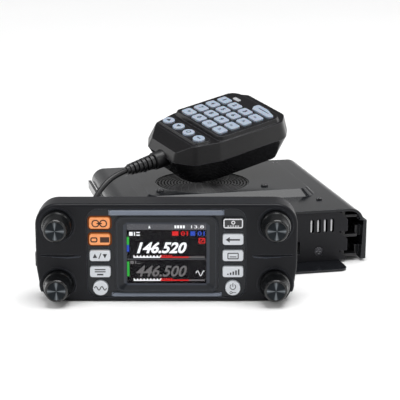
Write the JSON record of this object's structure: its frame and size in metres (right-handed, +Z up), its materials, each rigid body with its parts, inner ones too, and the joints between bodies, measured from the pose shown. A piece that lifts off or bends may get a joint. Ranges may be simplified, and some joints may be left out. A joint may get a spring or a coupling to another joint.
{
  "type": "mobile transceiver",
  "caption": "Mobile radio transceiver: a flat radio unit, a separate control panel with knobs and a colour screen, and a keypad hand microphone on a curly lead.",
  "frame": {"origin": "middle of the radio unit's base, on the surface it stands on", "axes": "+Z up, the radio unit's front faces -Y, +X to the right seen from the front"},
  "size_m": [0.1937, 0.2182, 0.0817],
  "materials": {
    "black_casting": "satin black paint over a casting",
    "cover_paint": "semi-gloss dark grey paint",
    "grille_metal": "perforated black steel",
    "screw_steel": "blackened steel",
    "nickel": "nickel plated",
    "socket_plastic": "black moulded",
    "fan_plastic": "black moulded",
    "board": "green circuit board",
    "panel_plastic": "fine-textured charcoal",
    "fascia_plastic": "satin blue-grey",
    "glass": "polished",
    "orange_key": "lit orange",
    "white_key": "lit white",
    "outlined_key": "black with a white outline",
    "knob_black": "spun, black",
    "mic_plastic": "fine-textured near-black",
    "mic_gloss": "gloss black",
    "key_rubber": "pale translucent silicone",
    "lens": "clear",
    "lead_rubber": "black"
  },
  "bodies": {
    "radio_unit": {"chassis": "black_casting", "top_cover": "cover_paint", "speaker_grille": "grille_metal", "front_plate": "cover_paint", "base_plate": "cover_paint", "left_side_wall": "cover_paint", "right_side_wall": "cover_paint", "rear_plate": "cover_paint", "case_screws": "screw_steel", "front_sockets": "socket_plastic", "aerial_socket": "nickel", "power_inlet": "socket_plastic", "rear_jacks": "socket_plastic", "fan_frame": "fan_plastic", "speaker": "socket_plastic", "main_board": "board", "power_stage": "socket_plastic", "lead_drop": "lead_rubber", "lead_curl": "lead_rubber", "lead_tail": "lead_rubber", "modular_plug": "socket_plastic"},
    "fan": {"fan_rotor": "fan_plastic"},
    "control_panel": {"panel_front_shell": "panel_plastic", "panel_rear_shell": "panel_plastic", "fascia": "fascia_plastic", "display_glass": "glass", "display_module": "socket_plastic", "knob_encoders": "socket_plastic", "panel_board": "board"},
    "card_cap": {"card_slot_cap": "panel_plastic"},
    "microphone": {"mic_front_shell": "mic_plastic", "mic_back_shell": "mic_gloss", "hanger_stud": "mic_plastic", "mic_board": "board", "mic_capsule": "socket_plastic", "strain_relief": "lead_rubber", "lamp_lens": "lens"},
    "keypad_mat": {"keypad": "key_rubber"},
    "wide_key_top": {"wide_key": "key_rubber"},
    "talk_lever": {"talk_key": "mic_plastic"},
    "group_button_body": {"group_button": "orange_key"},
    "mode_button_body": {"mode_button": "orange_key"},
    "main_band_button_body": {"main_band_button": "white_key"},
    "memory_button_body": {"memory_button": "white_key"},
    "function_button_body": {"function_button": "outlined_key"},
    "back_button_body": {"back_button": "white_key"},
    "display_button_body": {"display_button": "white_key"},
    "squelch_button_body": {"squelch_button": "white_key"},
    "band_button_body": {"band_button": "white_key"},
    "power_button_body": {"power_button": "white_key"},
    "upper_left_knob_body": {"upper_left_knob": "knob_black"},
    "upper_right_knob_body": {"upper_right_knob": "knob_black"},
    "lower_left_knob_body": {"lower_left_knob": "knob_black"},
    "lower_right_knob_body": {"lower_right_knob": "knob_black"},
    "small_key_1_body": {"small_key_1": "key_rubber"},
    "small_key_2_body": {"small_key_2": "key_rubber"},
    "small_key_3_body": {"small_key_3": "key_rubber"},
    "small_key_4_body": {"small_key_4": "key_rubber"}
  },
  "joints": [
    {"name": "fan_spin", "type": "hinge", "parent": "radio_unit", "child": "fan", "pos_m": [0.016, 0.0705, 0.0156], "axis": [0, 1, 0], "continuous": true},
    {"name": "panel_lift", "type": "slide", "parent": "radio_unit", "child": "control_panel", "axis": [0, 0, 1], "range_m": [0, 0.08]},
    {"name": "mic_lift", "type": "slide", "parent": "radio_unit", "child": "microphone", "axis": [0, 0, 1], "range_m": [0, 0.03]},
    {"name": "card_cap_pull", "type": "slide", "parent": "control_panel", "child": "card_cap", "axis": [-0.9767, 0.2146, 0], "range_m": [0, 0.006]},
    {"name": "group_button_press", "type": "slide", "parent": "control_panel", "child": "group_button_body", "axis": [0.2146, 0.9767, 0], "range_m": [0, 0.0008], "stiffness_N_per_m": 600},
    {"name": "mode_button_press", "type": "slide", "parent": "control_panel", "child": "mode_button_body", "axis": [0.2146, 0.9767, 0], "range_m": [0, 0.0008], "stiffness_N_per_m": 600},
    {"name": "main_band_button_press", "type": "slide", "parent": "control_panel", "child": "main_band_button_body", "axis": [0.2146, 0.9767, 0], "range_m": [0, 0.0008], "stiffness_N_per_m": 600},
    {"name": "memory_button_press", "type": "slide", "parent": "control_panel", "child": "memory_button_body", "axis": [0.2146, 0.9767, 0], "range_m": [0, 0.0008], "stiffness_N_per_m": 600},
    {"name": "function_button_press", "type": "slide", "parent": "control_panel", "child": "function_button_body", "axis": [0.2146, 0.9767, 0], "range_m": [0, 0.0008], "stiffness_N_per_m": 600},
    {"name": "back_button_press", "type": "slide", "parent": "control_panel", "child": "back_button_body", "axis": [0.2146, 0.9767, 0], "range_m": [0, 0.0008], "stiffness_N_per_m": 600},
    {"name": "display_button_press", "type": "slide", "parent": "control_panel", "child": "display_button_body", "axis": [0.2146, 0.9767, 0], "range_m": [0, 0.0008], "stiffness_N_per_m": 600},
    {"name": "squelch_button_press", "type": "slide", "parent": "control_panel", "child": "squelch_button_body", "axis": [0.2146, 0.9767, 0], "range_m": [0, 0.0008], "stiffness_N_per_m": 600},
    {"name": "band_button_press", "type": "slide", "parent": "control_panel", "child": "band_button_body", "axis": [0.2146, 0.9767, 0], "range_m": [0, 0.0008], "stiffness_N_per_m": 600},
    {"name": "power_button_press", "type": "slide", "parent": "control_panel", "child": "power_button_body", "axis": [0.2146, 0.9767, 0], "range_m": [0, 0.0008], "stiffness_N_per_m": 600},
    {"name": "upper_left_knob_turn", "type": "hinge", "parent": "control_panel", "child": "upper_left_knob_body", "pos_m": [-0.11221, -0.10749, 0.0416], "axis": [-0.2146, -0.9767, 0], "continuous": true},
    {"name": "upper_right_knob_turn", "type": "hinge", "parent": "control_panel", "child": "upper_right_knob_body", "pos_m": [-0.00106, -0.13191, 0.0416], "axis": [-0.2146, -0.9767, 0], "continuous": true},
    {"name": "lower_left_knob_turn", "type": "hinge", "parent": "control_panel", "child": "lower_left_knob_body", "pos_m": [-0.11221, -0.10749, 0.0094], "axis": [-0.2146, -0.9767, 0], "continuous": true},
    {"name": "lower_right_knob_turn", "type": "hinge", "parent": "control_panel", "child": "lower_right_knob_body", "pos_m": [-0.00106, -0.13191, 0.0094], "axis": [-0.2146, -0.9767, 0], "continuous": true},
    {"name": "keypad_press", "type": "slide", "parent": "microphone", "child": "keypad_mat", "axis": [0.0604, 0.2534, -0.9655], "range_m": [0, 0.0007], "stiffness_N_per_m": 900},
    {"name": "wide_key_press", "type": "slide", "parent": "microphone", "child": "wide_key_top", "axis": [0.0604, 0.2534, -0.9655], "range_m": [0, 0.0007], "stiffness_N_per_m": 600},
    {"name": "small_key_1_press", "type": "slide", "parent": "microphone", "child": "small_key_1_body", "axis": [0.0604, 0.2534, -0.9655], "range_m": [0, 0.0007], "stiffness_N_per_m": 600},
    {"name": "small_key_2_press", "type": "slide", "parent": "microphone", "child": "small_key_2_body", "axis": [0.0604, 0.2534, -0.9655], "range_m": [0, 0.0007], "stiffness_N_per_m": 600},
    {"name": "small_key_3_press", "type": "slide", "parent": "microphone", "child": "small_key_3_body", "axis": [0.0604, 0.2534, -0.9655], "range_m": [0, 0.0007], "stiffness_N_per_m": 600},
    {"name": "small_key_4_press", "type": "slide", "parent": "microphone", "child": "small_key_4_body", "axis": [0.0604, 0.2534, -0.9655], "range_m": [0, 0.0007], "stiffness_N_per_m": 600},
    {"name": "talk_key_press", "type": "slide", "parent": "microphone", "child": "talk_lever", "axis": [0.4126, -0.8871, -0.207], "range_m": [0, 0.0016], "stiffness_N_per_m": 700}
  ]
}
